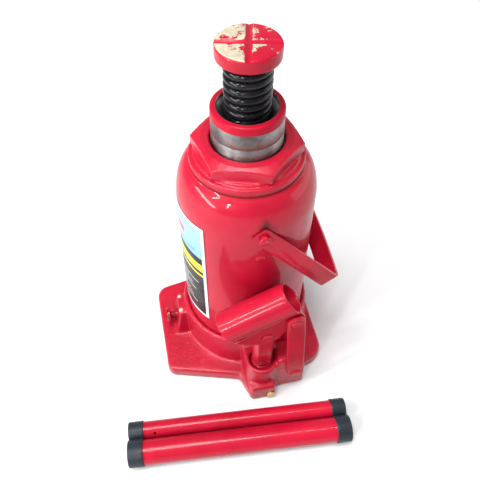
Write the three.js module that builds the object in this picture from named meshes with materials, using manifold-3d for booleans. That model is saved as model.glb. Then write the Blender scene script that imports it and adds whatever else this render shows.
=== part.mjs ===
// Hydraulic bottle jack with a screw extension and its two-piece pump handle.
// Millimetres, +Z up. The origin is on the floor, on the axis of the lifting ram.
// +X points along the pump linkage, from the plunger to the fulcrum link, and the pump is on the -Y side.
import * as THREE from 'three';
import { mergeVertices } from 'three/addons/utils/BufferGeometryUtils.js';
import Module from 'manifold-3d';

const wasm = await Module();
wasm.setup();

// Fits shared by every piece
const gap = 0.3;
const castFoot = 1;
const castEdge = 1.2;

// Facets round a circle, for large, middling and small pieces
const fine = 32;
const socketFacets = 24;
const medium = 20;
const pinFacets = 16;
const screwFacets = 14;
const coarse = 12;

// Base casting
const plateThickness = 13;
const plateBevel = 2;
const plateLeft = 33;
const plateRight = 10;
const frontLeftCorner = { inset: 2.5, fillet: 9 };
const backLeftCorner = { inset: 14, fillet: 14 };
const backCorner = { x: 8, reach: 3, fillet: 30 };
const backRightCorner = { y: 50, fillet: 12 };
const frontRightCorner = { reach: 11, fillet: 20 };
const lugCorner = { reach: 13.5, fillet: 2 };
const bossCorner = { flare: 5.5, reach: 3, fillet: 5 };
const ringWall = 6;
const ringDraft = 1;
const ringTop = 49.8;
const tankSeat = 38;
const wellFloor = 18;

// Pressure cylinder, ram and piston
const ramWall = 7.7;
const ramShow = 29.8;
const ramRaised = 23.5;
const ramEdge = 1.8;
const ramClosedGap = 2;
const pistonStep = 1.3;
const pistonHeight = 14.5;
const pistonSpigot = 14;
const sealLow = 3.5;
const guideLow = 9.5;
const sealHeight = 3.4;
const cylinderWall = 5.1;
const boreRelief = 2.3;
const ramNeck = 35;
const ramMouthStep = 2.7;
const ramMouthDepth = 3;
const ramMouthCone = 4;
const ringSection = 3.2;

// Extension screw and saddle
const screwRadius = 18.3;
const threadDepth = 2.8;
const threadPitch = 6.5;
const ridgeShares = { foot: 0.08, crestLow: 0.38, crestHigh: 0.7 };
const stopGroove = 1;
const screwClearance = 0.4;
const screwRaised = 41;
const screwTravelUp = 39;
const screwTail = 2;
const stopRingHeight = 2.4;
const saddleRadius = 23.9;
const saddleHeight = 10.4;
const saddleEdge = 1.6;
const saddleSpigot = 11;
const saddleGroove = 6.5;
const saddleGrooveDepth = 1.8;
const saddleTurn = -13;

// Reservoir tank and top nut
const tankRadius = 60;
const tankWall = 3;
const tankTop = 240.7;
const shoulderHeight = 34;
const shoulderSweep = 78;
const gasketHeight = 1.2;
const flangeRadius = 47.6;
const flangeHeight = 6.3;
const neckHeight = 2.2;
const hexRadius = 46;
const hexHeight = 12;
const hexTurn = -18;
const hexChamfer = 4;
const hexChamferReach = 3;
const skirtWall = 3;
const skirtDepth = 17;
const wiperHeight = 4.4;
const wiperStep = 2;
const cylinderSeat = 3.5;
const neckStep = 0.7;
const gasketInset = 0.6;
const collarInset = 4;
const flangeEdge = 1;
const nutMouth = { depth: 1.2, flare: 1.4 };

// Pump
const pumpOffset = 21.6;
const bossRadius = 16.4;
const bossTop = 47;
const sleeveRadius = 11.9;
const plungerRadius = 6.6;
const pumpFloor = 12;
const plungerLift = 1.5;
const packing = { foot: 3, height: 2.4, depth: 1.4 };
const shoulderRadius = 10.5;
const shoulderLift = 0.6;
const shoulderEdge = 0.8;
const shoulderThickness = 3.4;
const tongueRadius = 10.2;
const tongueThickness = 16.4;
const eyeRadius = 9.4;
const slotReach = 1.3;
const slotDrop = 1;
const plungerPinX = 1;
const noseReach = 21;
const noseHeight = 22.5;
const noseLeft = 14.5;
const noseRight = 10.5;
const noseSplay = 2;
const noseFillet = 2.6;
const noseRootFillet = 3;
const noseBevel = 1.6;
const webDrop = 0.6;

// Fulcrum link and handle socket
const pinRadius = 5.2;
const pinProud = 0.9;
const earThickness = 3;
const earOverlap = 5;
const earMargin = 0.6;
const earFoot = { left: 8.8, right: 7.4, fillet: 7 };
const earWaist = { right: 18, fillet: 6 };
const linkThickness = 4;
const linkHalfWidth = 8.4;
const lowerPin = { x: 31, z: 33.3 };
const upperPin = { x: 24.8, z: 127.6 };
const plungerPinHeight = 105.5;
const lugLeft = 13.7;
const lugRight = 42.5;
const lugTop = 54;
const lugStep = 5;
const lugStepHeight = 36;
const lugStepRise = 7.5;
const lugStepFillet = 6;
const lugTopFillet = 8;
const lugBackFillet = 3;
const socketTilt = 26.3;
const socketRadius = 15;
const socketBore = 13;
const socketRise = 18.4;
const socketLeft = 58.5;
const socketRight = 7.1;
const socketSlant = 2.3;

// Valves
const valveHeight = 25;
const valveBossFoot = 20;
const valveBossTop = 12.4;
const valveBossHalf = 19;
const valveBossTopHalf = 12.6;
const valveBossHeight = 44;
const valveBossRoot = 10;
const valveStem = 4;
const valveHead = 9;
const valveHeadThickness = 3.6;
const valveHeadProud = 10;
const valveSeatDepth = 22;
const valveSlot = { half: 1.6, depth: 1.8 };
const valveHeadEdge = 0.6;
const oilwayRadius = 1.5;
const checkAxis = { x: 5.5, z: 5.2 };
const checkBore = 3.8;
const checkDepth = 21;
const checkPlugLength = 8;
const checkPlugHead = { height: 1.6, overhang: 0.9 };
const ballGap = 0.5;
const ballRadius = 2.6;
const springWire = 0.55;
const springTurns = 3;

// Carrying handle
const bailPivotX = 1.5;
const bailDrop = 32.7;
const bailReach = 100;
const bailBow = 4;
const bailWidth = 17;
const bailStrip = 3;
const bailBend = 8;
const bailBowShare = 0.8;
const bailEndFillet = 4;
const bailEnd = 8.5;
const bailRestGap = 0.6;
const rivetRadius = 3.5;
const rivetHead = 4.6;
const rivetHeight = 2.1;
const rivetTail = 2;

// Filler plug and label
const fillerDrop = 59.7;
const fillerAngle = -91;
const fillerRadius = 3;
const fillerHead = 4.4;
const fillerHeadHeight = 1.8;
const fillerTail = 2;
const labelWrap = 84.4;
const labelFoot = 70;
const labelMargin = 1.7;
const labelThickness = 0.5;

// Handle tubes, lying in front of the jack
const handleLength = 214;
const handleTurn = -5;
const largeTubeRadius = 11.7;
const smallTubeRadius = 8.6;
const handleWall = 1.4;
const capLength = 14.5;
const capWall = 0.8;
const capFloor = 1.6;
const handleReach = { x: -35.1, y: -86.4 };
const lockHoleRadius = 1.8;
const lockHoleFromCap = 11;

// Places worked out from the sizes above
const ringRadius = tankRadius + ringWall;
const pumpY = -(tankRadius + pumpOffset);
const threadBore = screwRadius + screwClearance;
const ramBore = threadBore + boreRelief;
const ramMouthRadius = ramBore + ramMouthStep;
const ramRadius = ramBore + ramWall;
const cylinderBore = ramRadius + pistonStep + gap;
const cylinderRadius = cylinderBore + cylinderWall;
const pistonFoot = wellFloor + ramClosedGap + ramRaised;
const ramFoot = pistonFoot + pistonHeight;
const flangeFoot = tankTop + gasketHeight + 2 * gap;
const flangeTop = flangeFoot + flangeHeight;
const hexFoot = flangeTop + neckHeight;
const hexTop = hexFoot + hexHeight;
const ramTop = hexTop + ramShow;
const saddleFoot = ramTop + screwRaised;
const stopRingTop = ramTop - ramNeck - screwTravelUp - gap;
const screwFoot = stopRingTop - stopRingHeight - screwTail;
const cylinderTop = flangeFoot + cylinderSeat;
const nutBore = ramRadius + pistonStep;
const earInner = tongueThickness / 2 + gap;
const lugHalf = earInner + earThickness;
const linkInner = lugHalf + gap;
const linkOuter = linkInner + linkThickness;
const tankFoot = tankSeat + 2 + gap;
const bailPivot = { x: bailPivotX, z: tankTop - bailDrop };
const fillerHeight = tankTop - fillerDrop;
const labelHeight = tankTop - shoulderHeight - labelMargin - labelFoot;

const degrees = THREE.MathUtils.degToRad;

// ---- shape helpers ----

// A solid of revolution about +Z from [radius, height] pairs.
function turned(profile, facets = medium) {
  const points = profile.map(([radius, height]) => new THREE.Vector2(radius, height));
  return new THREE.LatheGeometry(points, facets).rotateX(Math.PI / 2);
}

function rod(radius, low, high, facets = medium) {
  return turned([[0, low], [radius, low], [radius, high], [0, high]], facets);
}

function sleeve(inner, outer, low, high, facets = medium) {
  return turned([[inner, low], [outer, low], [outer, high], [inner, high], [inner, low]], facets);
}

// The same rod with its axis along +Y or +X, through the given point.
function rodAlongY(radius, from, to, x, z, facets = medium) {
  return rod(radius, from, to, facets).rotateX(-Math.PI / 2).translate(x, 0, z);
}

function rodAlongX(radius, from, to, y, z, facets = medium) {
  return rod(radius, from, to, facets).rotateY(Math.PI / 2).translate(0, y, z);
}

// A closed outline from [x, y, fillet radius] corners.
function roundedShape(corners) {
  const shape = new THREE.Shape();
  corners.forEach(([x, y, fillet], index) => {
    const corner = new THREE.Vector2(x, y);
    if (fillet > 0) {
      addFillet(shape, corner, corners.at(index - 1), corners[(index + 1) % corners.length], fillet);
    } else if (index === 0) {
      shape.moveTo(x, y);
    } else {
      shape.lineTo(x, y);
    }
  });
  shape.closePath();
  return shape;
}

function addFillet(shape, corner, [beforeX, beforeY], [afterX, afterY], radius) {
  const back = new THREE.Vector2(beforeX, beforeY).sub(corner).normalize();
  const ahead = new THREE.Vector2(afterX, afterY).sub(corner).normalize();
  const half = Math.acos(back.dot(ahead)) / 2;
  const clockwise = back.cross(ahead) > 0;
  const centre = back.clone().add(ahead).setLength(radius / Math.sin(half)).add(corner);
  const setBack = radius / Math.tan(half);
  const start = back.multiplyScalar(setBack).add(corner).sub(centre);
  const end = ahead.multiplyScalar(setBack).add(corner).sub(centre);
  shape.absarc(centre.x, centre.y, radius, start.angle(), end.angle(), clockwise);
}

function prism(shape, depth, curveSegments = 5) {
  return new THREE.ExtrudeGeometry(shape, { depth, curveSegments, bevelEnabled: false });
}

// An X-Z outline given thickness along Y, between two Y positions.
function wallAlongY(shape, from, to, curveSegments = 5) {
  return prism(shape, to - from, curveSegments).rotateX(Math.PI / 2).translate(0, to, 0);
}

function block(x0, x1, y0, y1, z0, z1) {
  const box = new THREE.BoxGeometry(x1 - x0, y1 - y0, z1 - z0);
  return box.translate((x0 + x1) / 2, (y0 + y1) / 2, (z0 + z1) / 2);
}

// ---- cutting and joining ----

function solid(geometry) {
  const bare = geometry.clone();
  bare.deleteAttribute('normal');
  bare.deleteAttribute('uv');
  const merged = mergeVertices(bare, 1e-4);
  const corners = merged.index.array;
  const faces = [];
  for (let i = 0; i < corners.length; i += 3) {
    const [a, b, c] = corners.slice(i, i + 3);
    if (a !== b && b !== c && c !== a) {
      faces.push(a, b, c);
    }
  }
  return new wasm.Manifold(new wasm.Mesh({
    numProp: 3,
    vertProperties: merged.attributes.position.array,
    triVerts: new Uint32Array(faces),
  }));
}

function surface(manifold) {
  const mesh = manifold.getMesh();
  const geometry = new THREE.BufferGeometry();
  geometry.setAttribute('position', new THREE.BufferAttribute(mesh.vertProperties, 3));
  geometry.setIndex(new THREE.BufferAttribute(mesh.triVerts, 1));
  geometry.computeVertexNormals();
  return geometry;
}

function join(geometries) {
  return geometries.map(solid).reduce((sum, next) => sum.add(next));
}

function carve(body, cutters) {
  return cutters.reduce((rest, cutter) => rest.subtract(solid(cutter)), body);
}

// ---- base casting ----

function plateOutline() {
  const left = -(tankRadius + plateLeft);
  const right = tankRadius + plateRight;
  const lugFront = pumpY - lugHalf;
  return roundedShape([
    [left, -(tankRadius - frontLeftCorner.inset), frontLeftCorner.fillet],
    [-bossRadius - bossCorner.flare, pumpY + bossCorner.reach, bossCorner.fillet],
    [-noseLeft, pumpY - noseReach, noseFillet],
    [noseRight, pumpY - noseReach, noseFillet],
    [noseRight + noseSplay, lugFront, noseRootFillet],
    [lugRight, lugFront, noseFillet],
    [lugRight, lugFront + lugCorner.reach, lugCorner.fillet],
    [right, pumpY + frontRightCorner.reach, frontRightCorner.fillet],
    [right, backRightCorner.y, backRightCorner.fillet],
    [backCorner.x, tankRadius + backCorner.reach, backCorner.fillet],
    [left, tankRadius - backLeftCorner.inset, backLeftCorner.fillet],
  ]);
}

function footPlate() {
  const plate = new THREE.ExtrudeGeometry(plateOutline(), {
    depth: plateThickness,
    curveSegments: 5,
    bevelThickness: plateBevel,
    bevelSize: plateBevel,
    bevelOffset: -plateBevel,
    bevelSegments: 2,
  }).translate(0, 0, -plateBevel);
  const reach = 3 * tankRadius;
  const floor = block(-reach, reach, -reach, reach, -3 * plateBevel, 0);
  return carve(solid(plate), [floor]);
}

function tankRing() {
  return turned([
    [0, castFoot],
    [ringRadius, castFoot],
    [ringRadius, plateThickness],
    [ringRadius - ringDraft, ringTop - castEdge],
    [ringRadius - ringDraft - castEdge, ringTop],
    [0, ringTop],
  ], fine);
}

function pumpBoss() {
  const post = turned([
    [0, castFoot],
    [bossRadius, castFoot],
    [bossRadius, bossTop - castEdge],
    [bossRadius - castEdge, bossTop],
    [0, bossTop],
  ]).translate(0, pumpY, 0);
  const web = block(-bossRadius, bossRadius, pumpY, -tankRadius, castFoot, bossTop - webDrop);
  return solid(post).add(solid(web));
}

function noseBlock() {
  const nose = roundedShape([
    [-noseLeft, pumpY - noseReach, noseFillet],
    [noseRight, pumpY - noseReach, noseFillet],
    [noseRight, pumpY, 0],
    [-noseLeft - noseSplay, pumpY, 0],
  ]);
  return new THREE.ExtrudeGeometry(nose, {
    depth: noseHeight - 2 * noseBevel,
    curveSegments: 3,
    bevelThickness: noseBevel,
    bevelSize: noseBevel,
    bevelOffset: -noseBevel,
    bevelSegments: 1,
  }).translate(0, 0, noseBevel);
}

function linkLug() {
  const lug = roundedShape([
    [lugLeft, castFoot, 0],
    [lugRight, castFoot, 0],
    [lugRight, lugStepHeight, lugStepFillet],
    [lugRight - lugStep, lugStepHeight + lugStepRise, lugStepFillet],
    [lugRight - lugStep, lugTop, lugTopFillet],
    [lugLeft, lugTop, lugBackFillet],
  ]);
  return wallAlongY(lug, pumpY - lugHalf, pumpY + lugHalf);
}

// The release valve's boss narrows towards its top on all sides.
function valveBoss() {
  const inner = tankRadius - valveBossRoot;
  const foot = tankRadius + valveBossFoot;
  const top = tankRadius + valveBossTop;
  const boss = block(-foot, -inner, -valveBossHalf, valveBossHalf, castFoot, valveBossHeight);
  const corners = boss.attributes.position;
  for (let i = 0; i < corners.count; i += 1) {
    if (corners.getZ(i) > castFoot) {
      corners.setX(i, Math.max(corners.getX(i), -top));
      corners.setY(i, Math.sign(corners.getY(i)) * valveBossTopHalf);
    }
  }
  return boss;
}

function valveFace() {
  const rise = (valveHeight - castFoot) / (valveBossHeight - castFoot);
  return tankRadius + valveBossFoot - rise * (valveBossFoot - valveBossTop);
}

function baseBores() {
  const noseFront = pumpY - noseReach;
  const checkEnd = noseFront + checkDepth;
  const seat = valveFace() - valveSeatDepth;
  return [
    rod(cylinderRadius + gap, wellFloor, ringTop + 1, fine),
    rod(tankRadius + gap, tankSeat, ringTop + 1, fine),
    rod(sleeveRadius + gap, pumpFloor, bossTop + 1).translate(0, pumpY, 0),
    rodAlongX(valveStem + gap, -tankRadius - 40, -seat, 0, valveHeight, coarse),
    rodAlongX(oilwayRadius, -seat - 1, -cylinderBore, 0, valveHeight, coarse),
    rodAlongY(checkBore, noseFront - 2, checkEnd, checkAxis.x, checkAxis.z, coarse),
    rodAlongY(oilwayRadius, checkEnd - 1, -cylinderBore + 6, checkAxis.x, checkAxis.z, coarse),
    rod(oilwayRadius, checkAxis.z, pumpFloor + 1, coarse).translate(0, pumpY + 1, 0),
    rodAlongX(oilwayRadius, -1, checkAxis.x, pumpY + 1, checkAxis.z, coarse),
    rod(oilwayRadius, checkAxis.z, wellFloor + 1, coarse).translate(checkAxis.x, -cylinderBore + 8, 0),
    rodAlongY(pinRadius + gap, pumpY - 2 * lugHalf, pumpY + lugHalf + 1, lowerPin.x, lowerPin.z, coarse),
  ];
}

function baseCasting() {
  const raised = join([tankRing(), noseBlock(), linkLug(), valveBoss()]);
  const casting = footPlate().add(raised).add(pumpBoss());
  return surface(carve(casting, baseBores()));
}

// ---- pressure cylinder, tank and top nut ----

function pressureCylinder() {
  return sleeve(cylinderBore, cylinderRadius, wellFloor + gap, cylinderTop, fine);
}

// The shoulder is part of an ellipse that leaves the wall smoothly and ends at the neck.
function shoulderCurve(wallRadius, neckRadius, foot, top, steps) {
  const curve = [];
  const sweep = degrees(shoulderSweep);
  for (let step = 0; step <= steps; step += 1) {
    const turn = (sweep * step) / steps;
    const across = (1 - Math.cos(turn)) / (1 - Math.cos(sweep));
    const up = Math.sin(turn) / Math.sin(sweep);
    curve.push([wallRadius + (neckRadius - wallRadius) * across, foot + (top - foot) * up]);
  }
  return curve;
}

function reservoirTank() {
  const shoulderFoot = tankTop - shoulderHeight;
  const neck = flangeRadius + neckStep;
  const outer = shoulderCurve(tankRadius, neck, shoulderFoot, tankTop - 1, 7);
  const inner = shoulderCurve(tankRadius - tankWall, neck - tankWall, shoulderFoot, tankTop - tankWall, 4);
  const mouth = cylinderRadius + gap + skirtWall + gap;
  const shell = turned([
    [tankRadius - tankWall, tankFoot],
    [tankRadius, tankFoot],
    ...outer,
    [neck - 1, tankTop],
    [mouth, tankTop],
    [mouth, tankTop - tankWall],
    ...inner.reverse(),
    [tankRadius - tankWall, tankFoot],
  ], fine);
  const reach = 2 * tankRadius;
  const rivetHole = rodAlongY(rivetRadius + gap, -reach, reach, bailPivot.x, bailPivot.z, coarse);
  const fillerHole = rodAlongX(fillerRadius + gap, 0, reach, 0, 0, coarse);
  fillerHole.rotateZ(degrees(fillerAngle)).translate(0, 0, fillerHeight);
  return surface(carve(solid(shell), [rivetHole, fillerHole]));
}

function tankBaseGasket() {
  return sleeve(tankRadius - tankWall, tankRadius, tankSeat + gap, tankFoot - gap, fine);
}

function tankTopGasket() {
  const inner = cylinderRadius + skirtWall + 3 * gap;
  return sleeve(inner, flangeRadius - gasketInset, tankTop + gap, flangeFoot - gap, fine);
}

// Six flats, with their corners turned down by a cone.
function hexHead() {
  const hex = rod(hexRadius, hexFoot - 0.5, hexTop, 6).rotateZ(degrees(hexTurn + 90));
  const flats = hexRadius * Math.cos(Math.PI / 6);
  const cone = turned([
    [0, hexFoot - 1],
    [hexRadius, hexFoot - 1],
    [hexRadius, hexTop - hexChamfer],
    [flats - hexChamferReach, hexTop],
    [0, hexTop],
  ], fine);
  return solid(hex).intersect(solid(cone));
}

function topNut() {
  const body = turned([
    [0, flangeFoot - skirtDepth],
    [cylinderRadius + gap + skirtWall, flangeFoot - skirtDepth],
    [cylinderRadius + gap + skirtWall, flangeFoot],
    [flangeRadius, flangeFoot],
    [flangeRadius, flangeTop - flangeEdge],
    [flangeRadius - flangeEdge, flangeTop],
    [flangeRadius - collarInset, flangeTop],
    [flangeRadius - collarInset, hexFoot],
    [0, hexFoot],
  ], fine);
  const cylinderSocket = rod(cylinderRadius + gap, flangeFoot - skirtDepth - 1, cylinderTop + gap, fine);
  const bore = rod(nutBore, flangeFoot, hexTop + 1, fine);
  const mouth = turned([
    [0, hexTop - nutMouth.depth],
    [nutBore, hexTop - nutMouth.depth],
    [nutBore + nutMouth.flare, hexTop + 0.2],
    [0, hexTop + 0.2],
  ], fine);
  const groove = rod(nutBore + ringSection, wiperFoot() - gap, wiperFoot() + wiperHeight + gap, fine);
  return surface(carve(solid(body).add(hexHead()), [cylinderSocket, bore, mouth, groove]));
}

function wiperFoot() {
  return hexFoot + wiperStep;
}

function wiperSeal() {
  return sleeve(ramRadius + gap, nutBore + ringSection - gap, wiperFoot(), wiperFoot() + wiperHeight, fine);
}

// ---- ram and piston ----

function ram() {
  const neckFoot = ramTop - ramNeck;
  return turned([
    [ramBore, ramFoot + gap],
    [ramRadius, ramFoot + gap],
    [ramRadius, ramTop - ramEdge],
    [ramRadius - ramEdge, ramTop],
    [ramMouthRadius, ramTop],
    [ramMouthRadius, ramTop - ramMouthDepth],
    [threadBore, ramTop - ramMouthDepth - ramMouthCone],
    [threadBore, neckFoot],
    [ramBore, neckFoot],
    [ramBore, ramFoot + gap],
  ], fine);
}

function ramPiston() {
  const edge = ramRadius + pistonStep;
  const root = edge - ringSection;
  const groove = (low) => [
    [edge, pistonFoot + low - gap],
    [root, pistonFoot + low - gap],
    [root, pistonFoot + low + sealHeight + gap],
    [edge, pistonFoot + low + sealHeight + gap],
  ];
  return turned([
    [0, pistonFoot],
    [edge - 1, pistonFoot],
    [edge, pistonFoot + 1],
    ...groove(sealLow),
    ...groove(guideLow),
    [edge, ramFoot],
    [ramBore - gap, ramFoot],
    [ramBore - gap, ramFoot + pistonSpigot],
    [0, ramFoot + pistonSpigot],
  ], fine);
}

function pistonRing(low) {
  const edge = ramRadius + pistonStep;
  const foot = pistonFoot + low;
  return sleeve(edge - ringSection + gap, edge, foot, foot + sealHeight, fine);
}

// ---- extension screw ----

// Rounded thread ridges, one to each pitch.
function threadRidges(low, high) {
  const count = Math.floor((high - low) / threadPitch);
  const root = screwRadius - threadDepth;
  const ridges = [];
  for (let turn = 0; turn < count; turn += 1) {
    const foot = low + turn * threadPitch;
    ridges.push([root, foot + ridgeShares.foot * threadPitch]);
    ridges.push([screwRadius, foot + ridgeShares.crestLow * threadPitch]);
    ridges.push([screwRadius, foot + ridgeShares.crestHigh * threadPitch]);
  }
  return ridges;
}

function extensionScrew() {
  const root = screwRadius - threadDepth;
  const grooveRoot = root - stopGroove;
  return turned([
    [0, screwFoot],
    [root, screwFoot],
    [root, screwFoot + screwTail - gap],
    [grooveRoot, screwFoot + screwTail - gap],
    [grooveRoot, stopRingTop + gap],
    [root, stopRingTop + gap],
    ...threadRidges(stopRingTop + gap, saddleFoot - gap),
    [root, saddleFoot - gap],
    [saddleSpigot, saddleFoot - gap],
    [saddleSpigot, saddleFoot + saddleHeight / 2],
    [0, saddleFoot + saddleHeight / 2],
  ], screwFacets);
}

function screwStopRing() {
  const inner = screwRadius - threadDepth - stopGroove + gap;
  const low = stopRingTop - stopRingHeight;
  return sleeve(inner, ramBore - 0.6, low, stopRingTop);
}

// A square bar standing on its edge, pressed flatter, cuts each V groove across the saddle.
function saddleGrooveCutter(turn) {
  const side = saddleGroove * Math.SQRT1_2;
  const bar = new THREE.BoxGeometry(3 * saddleRadius, side, side).rotateX(Math.PI / 4);
  bar.scale(1, 1, (2 * saddleGrooveDepth) / saddleGroove);
  return bar.rotateZ(degrees(turn)).translate(0, 0, saddleFoot + saddleHeight);
}

function saddle() {
  const top = saddleFoot + saddleHeight;
  const cap = turned([
    [0, saddleFoot],
    [saddleRadius - 0.6, saddleFoot],
    [saddleRadius, saddleFoot + 0.6],
    [saddleRadius, top - saddleEdge],
    [saddleRadius - 0.3 * saddleEdge, top - 0.3 * saddleEdge],
    [saddleRadius - saddleEdge, top],
    [0, top],
  ], fine);
  const spigotHole = rod(saddleSpigot + gap, saddleFoot - 1, saddleFoot + saddleHeight / 2 + gap);
  const grooves = [saddleTurn, saddleTurn + 90].map(saddleGrooveCutter);
  return surface(carve(solid(cap), [spigotHole, ...grooves]));
}

// ---- pump ----

function pumpCylinder() {
  return sleeve(plungerRadius + gap, sleeveRadius, pumpFloor + gap, plungerShoulder() - gap)
    .translate(0, pumpY, 0);
}

function plungerShoulder() {
  return bossTop + shoulderLift - shoulderThickness;
}

function plungerFoot() {
  return pumpFloor + plungerLift;
}

// The tongue is a round bar milled flat on two sides, with a rounded top around its eye.
function plungerTongue() {
  const low = plungerShoulder() + shoulderThickness - 0.5;
  const high = plungerPinHeight + eyeRadius;
  const bar = rod(tongueRadius, low, high);
  const side = roundedShape([
    [-tongueRadius - 1, low - 1, 0],
    [tongueRadius + 1, low - 1, 0],
    [tongueRadius + 1, plungerPinHeight - 3, 0],
    [eyeRadius, high, eyeRadius * 0.9],
    [-eyeRadius, high, eyeRadius * 0.9],
    [-tongueRadius - 1, plungerPinHeight - 3, 0],
  ]);
  const flats = wallAlongY(side, -tongueThickness / 2, tongueThickness / 2, 8);
  return solid(bar).intersect(solid(flats));
}

// The eye is longer than the pin needs, because the pin swings while the plunger rises straight.
function plungerEye() {
  const room = pinRadius + gap;
  const eye = roundedShape([
    [-room - slotReach, plungerPinHeight - room - slotDrop, room],
    [room + plungerPinX, plungerPinHeight - room - slotDrop, room],
    [room + plungerPinX, plungerPinHeight + room, room],
    [-room - slotReach, plungerPinHeight + room, room],
  ]);
  return wallAlongY(eye, -tongueThickness, tongueThickness, 8);
}

function pumpPlunger() {
  const foot = plungerFoot();
  const shoulder = plungerShoulder();
  const groove = plungerRadius - packing.depth;
  const stem = turned([
    [0, foot],
    [plungerRadius, foot],
    [plungerRadius, foot + packing.foot - gap],
    [groove, foot + packing.foot - gap],
    [groove, foot + packing.foot + packing.height + gap],
    [plungerRadius, foot + packing.foot + packing.height + gap],
    [plungerRadius, shoulder],
    [shoulderRadius, shoulder],
    [shoulderRadius, shoulder + shoulderThickness - shoulderEdge],
    [shoulderRadius - shoulderEdge, shoulder + shoulderThickness],
    [0, shoulder + shoulderThickness],
  ]);
  const whole = carve(solid(stem).add(plungerTongue()), [plungerEye()]);
  return surface(whole).translate(0, pumpY, 0);
}

function plungerSeal() {
  const foot = plungerFoot() + packing.foot;
  const inner = plungerRadius - packing.depth + gap;
  return sleeve(inner, plungerRadius, foot, foot + packing.height).translate(0, pumpY, 0);
}

// A round pin with chamfered ends, its axis along Y and centred on the pump.
function crossPin(halfLength, x, z) {
  return turned([
    [0, -halfLength],
    [pinRadius - 1, -halfLength],
    [pinRadius, -halfLength + 1],
    [pinRadius, halfLength - 1],
    [pinRadius - 1, halfLength],
    [0, halfLength],
  ], pinFacets).rotateX(-Math.PI / 2).translate(x, pumpY, z);
}

// ---- fulcrum link and handle socket ----

function linkPlate(side) {
  const lean = Math.atan2(upperPin.x - lowerPin.x, upperPin.z - lowerPin.z);
  const length = Math.hypot(upperPin.x - lowerPin.x, upperPin.z - lowerPin.z);
  const fillet = linkHalfWidth * 0.98;
  const plate = roundedShape([
    [-linkHalfWidth, -linkHalfWidth, fillet],
    [linkHalfWidth, -linkHalfWidth, fillet],
    [linkHalfWidth, length + linkHalfWidth, fillet],
    [-linkHalfWidth, length + linkHalfWidth, fillet],
  ]);
  const near = side < 0 ? -linkOuter : linkInner;
  const far = near + linkThickness;
  const holes = [0, length].map((height) => (
    rodAlongY(pinRadius + gap, near - 1, far + 1, 0, height, pinFacets)
  ));
  const link = carve(solid(wallAlongY(plate, near, far, 6)), holes);
  return surface(link).rotateY(lean).translate(lowerPin.x, pumpY, lowerPin.z);
}

// The plunger pin seen from the upper pin, in the socket's own tilted directions.
function plungerPinInSocket() {
  const tilt = degrees(socketTilt);
  const across = plungerPinX - upperPin.x;
  const down = plungerPinHeight - upperPin.z;
  return {
    x: across * Math.cos(tilt) + down * Math.sin(tilt),
    z: down * Math.cos(tilt) - across * Math.sin(tilt),
  };
}

function socketEar(side) {
  const pin = plungerPinInSocket();
  const lip = socketRise - earOverlap;
  const below = linkHalfWidth + earMargin;
  const ear = roundedShape([
    [-socketLeft, lip, 0],
    [-socketLeft, socketRise - socketRadius, 2],
    [pin.x - earFoot.left, pin.z - below, earFoot.fillet],
    [pin.x + earFoot.right, pin.z - below, earFoot.fillet],
    [pin.x + earWaist.right, -below, earWaist.fillet],
    [below, -below, below * 0.9],
    [below, lip, 0],
  ]);
  const near = side < 0 ? -lugHalf : earInner;
  return wallAlongY(ear, near, near + earThickness, 6);
}

// Both ends of the tube are cut on a slant, with the top further from the fulcrum than the bottom.
function slantedTube() {
  const tube = rodAlongX(socketRadius, -socketLeft - 5, socketRight + 5, 0, socketRise, socketFacets);
  const side = roundedShape([
    [-socketLeft + socketSlant, socketRise - socketRadius, 0],
    [socketRight + socketSlant, socketRise - socketRadius, 0],
    [socketRight - socketSlant, socketRise + socketRadius, 0],
    [-socketLeft - socketSlant, socketRise + socketRadius, 0],
  ]);
  return solid(tube).intersect(solid(wallAlongY(side, -2 * socketRadius, 2 * socketRadius)));
}

function handleSocket() {
  const bore = rodAlongX(socketBore, -socketLeft - 5, socketRight + 5, 0, socketRise, socketFacets);
  const pin = plungerPinInSocket();
  const holes = [pin, { x: 0, z: 0 }].map((hole) => (
    rodAlongY(pinRadius + gap, -2 * lugHalf, 2 * lugHalf, hole.x, hole.z, pinFacets)
  ));
  const whole = carve(slantedTube().add(join([socketEar(-1), socketEar(1)])), [bore, ...holes]);
  return surface(whole).rotateY(-degrees(socketTilt)).translate(upperPin.x, pumpY, upperPin.z);
}

// ---- valves ----

function releaseValve() {
  const head = valveHeadProud;
  const screw = turned([
    [0, -valveSeatDepth + 2 * ballRadius + 1],
    [valveStem, -valveSeatDepth + 2 * ballRadius + 1],
    [valveStem, head - valveHeadThickness],
    [valveHead, head - valveHeadThickness],
    [valveHead, head - valveHeadEdge],
    [valveHead - valveHeadEdge, head],
    [0, head],
  ], medium);
  const half = valveSlot.half;
  const slot = block(-valveHead - 1, valveHead + 1, -half, half, head - valveSlot.depth, head + 1);
  return surface(carve(solid(screw), [slot])).rotateY(-Math.PI / 2).translate(-valveFace(), 0, valveHeight);
}

function ball(x, y, z) {
  return new THREE.SphereGeometry(ballRadius, 10, 6).translate(x, y, z);
}

function checkPlug() {
  const front = pumpY - noseReach;
  return turned([
    [0, 0],
    [checkBore + checkPlugHead.overhang, 0],
    [checkBore + checkPlugHead.overhang, checkPlugHead.height],
    [checkBore - gap, checkPlugHead.height],
    [checkBore - gap, checkPlugHead.height + checkPlugLength],
    [0, checkPlugHead.height + checkPlugLength],
  ], 6).rotateX(-Math.PI / 2).translate(checkAxis.x, front - checkPlugHead.height - gap, checkAxis.z);
}

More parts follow.
